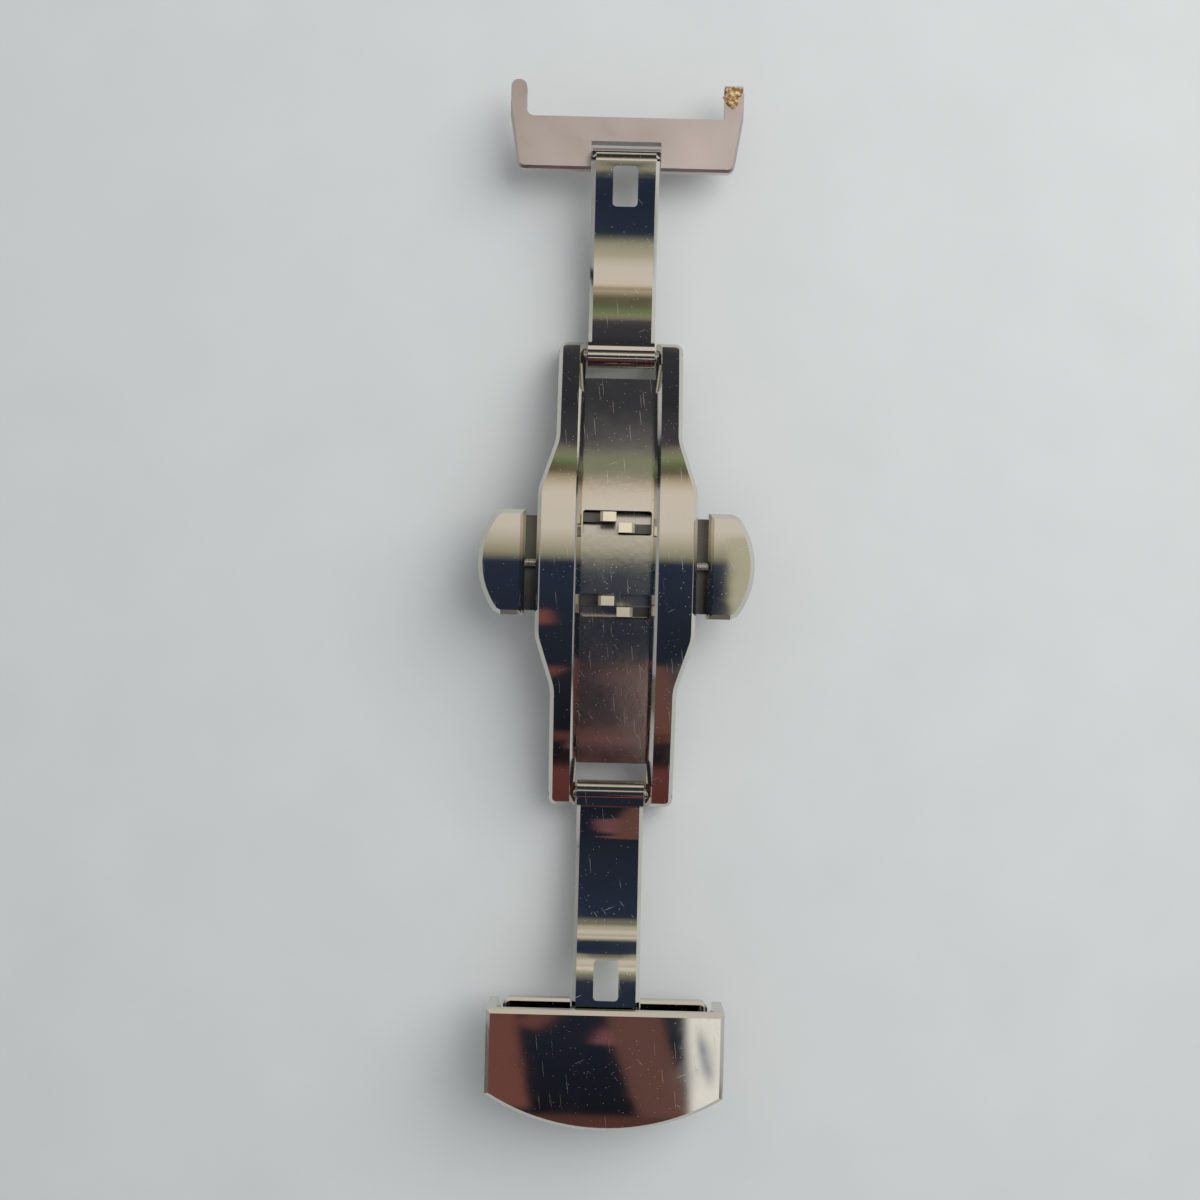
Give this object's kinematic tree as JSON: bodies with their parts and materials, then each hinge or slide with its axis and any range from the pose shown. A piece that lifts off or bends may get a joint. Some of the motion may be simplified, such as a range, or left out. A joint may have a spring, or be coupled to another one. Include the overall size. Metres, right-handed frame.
{
  "type": "butterfly clasp",
  "caption": "Push-button butterfly clasp for a watch strap: arched frame with sprung latch hooks, two fold-over arms and hinged strap end pieces.",
  "frame": {"origin": "on the table under the middle of the open clasp", "axes": "+X towards the right button, +Y along the clasp towards the end piece without its cover, +Z away from the wrist"},
  "size_m": [0.0206, 0.0792, 0.0071],
  "materials": {
    "polished_steel_frame": "mirror polished stainless steel with fine scratches",
    "polished_steel_back": "polished stainless steel",
    "turned_steel_rivets": "turned stainless steel",
    "polished_steel_arms": "mirror polished stainless steel",
    "turned_steel_pins": "turned stainless steel",
    "satin_steel_plates": "satin stainless steel",
    "polished_steel_lower_plate": "satin stainless steel",
    "polished_steel_cover": "mirror polished stainless steel",
    "stamped_steel_latches": "stamped stainless steel, darkened",
    "polished_steel_buttons": "mirror polished stainless steel",
    "turned_steel_rods": "turned stainless steel",
    "spring_wire": "drawn stainless spring wire"
  },
  "bodies": {
    "frame": {"centre_frame": "polished_steel_frame", "back_cover": "polished_steel_back", "cover_rivets": "turned_steel_rivets", "upper_frame_hinge_pin": "turned_steel_pins", "lower_frame_hinge_pin": "turned_steel_pins", "left_return_spring": "spring_wire", "right_return_spring": "spring_wire"},
    "upper_arm": {"upper_arm": "polished_steel_arms"},
    "lower_arm": {"lower_arm": "polished_steel_arms"},
    "upper_end_piece": {"upper_clamp_plate": "satin_steel_plates", "upper_end_hinge_pin": "turned_steel_pins"},
    "lower_end_piece": {"lower_clamp_plate": "polished_steel_lower_plate", "lower_end_hinge_pin": "turned_steel_pins"},
    "lower_cover": {"lower_cover": "polished_steel_cover", "cover_pivot_pins": "turned_steel_pins", "cover_catch_pins": "turned_steel_pins", "strap_post": "turned_steel_pins"},
    "left_button": {"left_button_pad": "polished_steel_buttons", "left_latch_plate": "stamped_steel_latches", "left_guide_rod": "turned_steel_rods"},
    "right_button": {"right_button_pad": "polished_steel_buttons", "right_latch_plate": "stamped_steel_latches", "right_guide_rod": "turned_steel_rods"}
  },
  "joints": [
    {"name": "upper_arm_fold", "type": "hinge", "parent": "frame", "child": "upper_arm", "pos_m": [0, 0.01877, 0.00308], "axis": [1, 0, 0], "range_deg": [0, 160.58]},
    {"name": "lower_arm_fold", "type": "hinge", "parent": "frame", "child": "lower_arm", "pos_m": [0, -0.01483, 0.00308], "axis": [-1, 0, 0], "range_deg": [0, 160.58]},
    {"name": "upper_end_tilt", "type": "hinge", "parent": "upper_arm", "child": "upper_end_piece", "pos_m": [0, 0.03404, 0.0034], "axis": [-1, 0, 0], "range_deg": [0, 160.58]},
    {"name": "lower_end_tilt", "type": "hinge", "parent": "lower_arm", "child": "lower_end_piece", "pos_m": [0, -0.03149, 0.00384], "axis": [1, 0, 0], "range_deg": [0, 160.58]},
    {"name": "cover_open", "type": "hinge", "parent": "lower_end_piece", "child": "lower_cover", "pos_m": [0, -0.03634, 0.00384], "axis": [1, 0, 0], "range_deg": [0, 55]},
    {"name": "left_button_press", "type": "slide", "parent": "frame", "child": "left_button", "axis": [1, 0, 0], "range_m": [0, 0.0007], "stiffness_N_per_m": 1200, "springref_m": -0.0007, "deforming": ["left_return_spring"]},
    {"name": "right_button_press", "type": "slide", "parent": "frame", "child": "right_button", "axis": [-1, 0, 0], "range_m": [0, 0.0007], "stiffness_N_per_m": 1200, "springref_m": -0.0007, "deforming": ["right_return_spring"]}
  ],
  "couplings": [
    {"joint": "upper_end_tilt", "follows": "upper_arm_fold", "ratio": 1},
    {"joint": "lower_end_tilt", "follows": "lower_arm_fold", "ratio": 1}
  ]
}
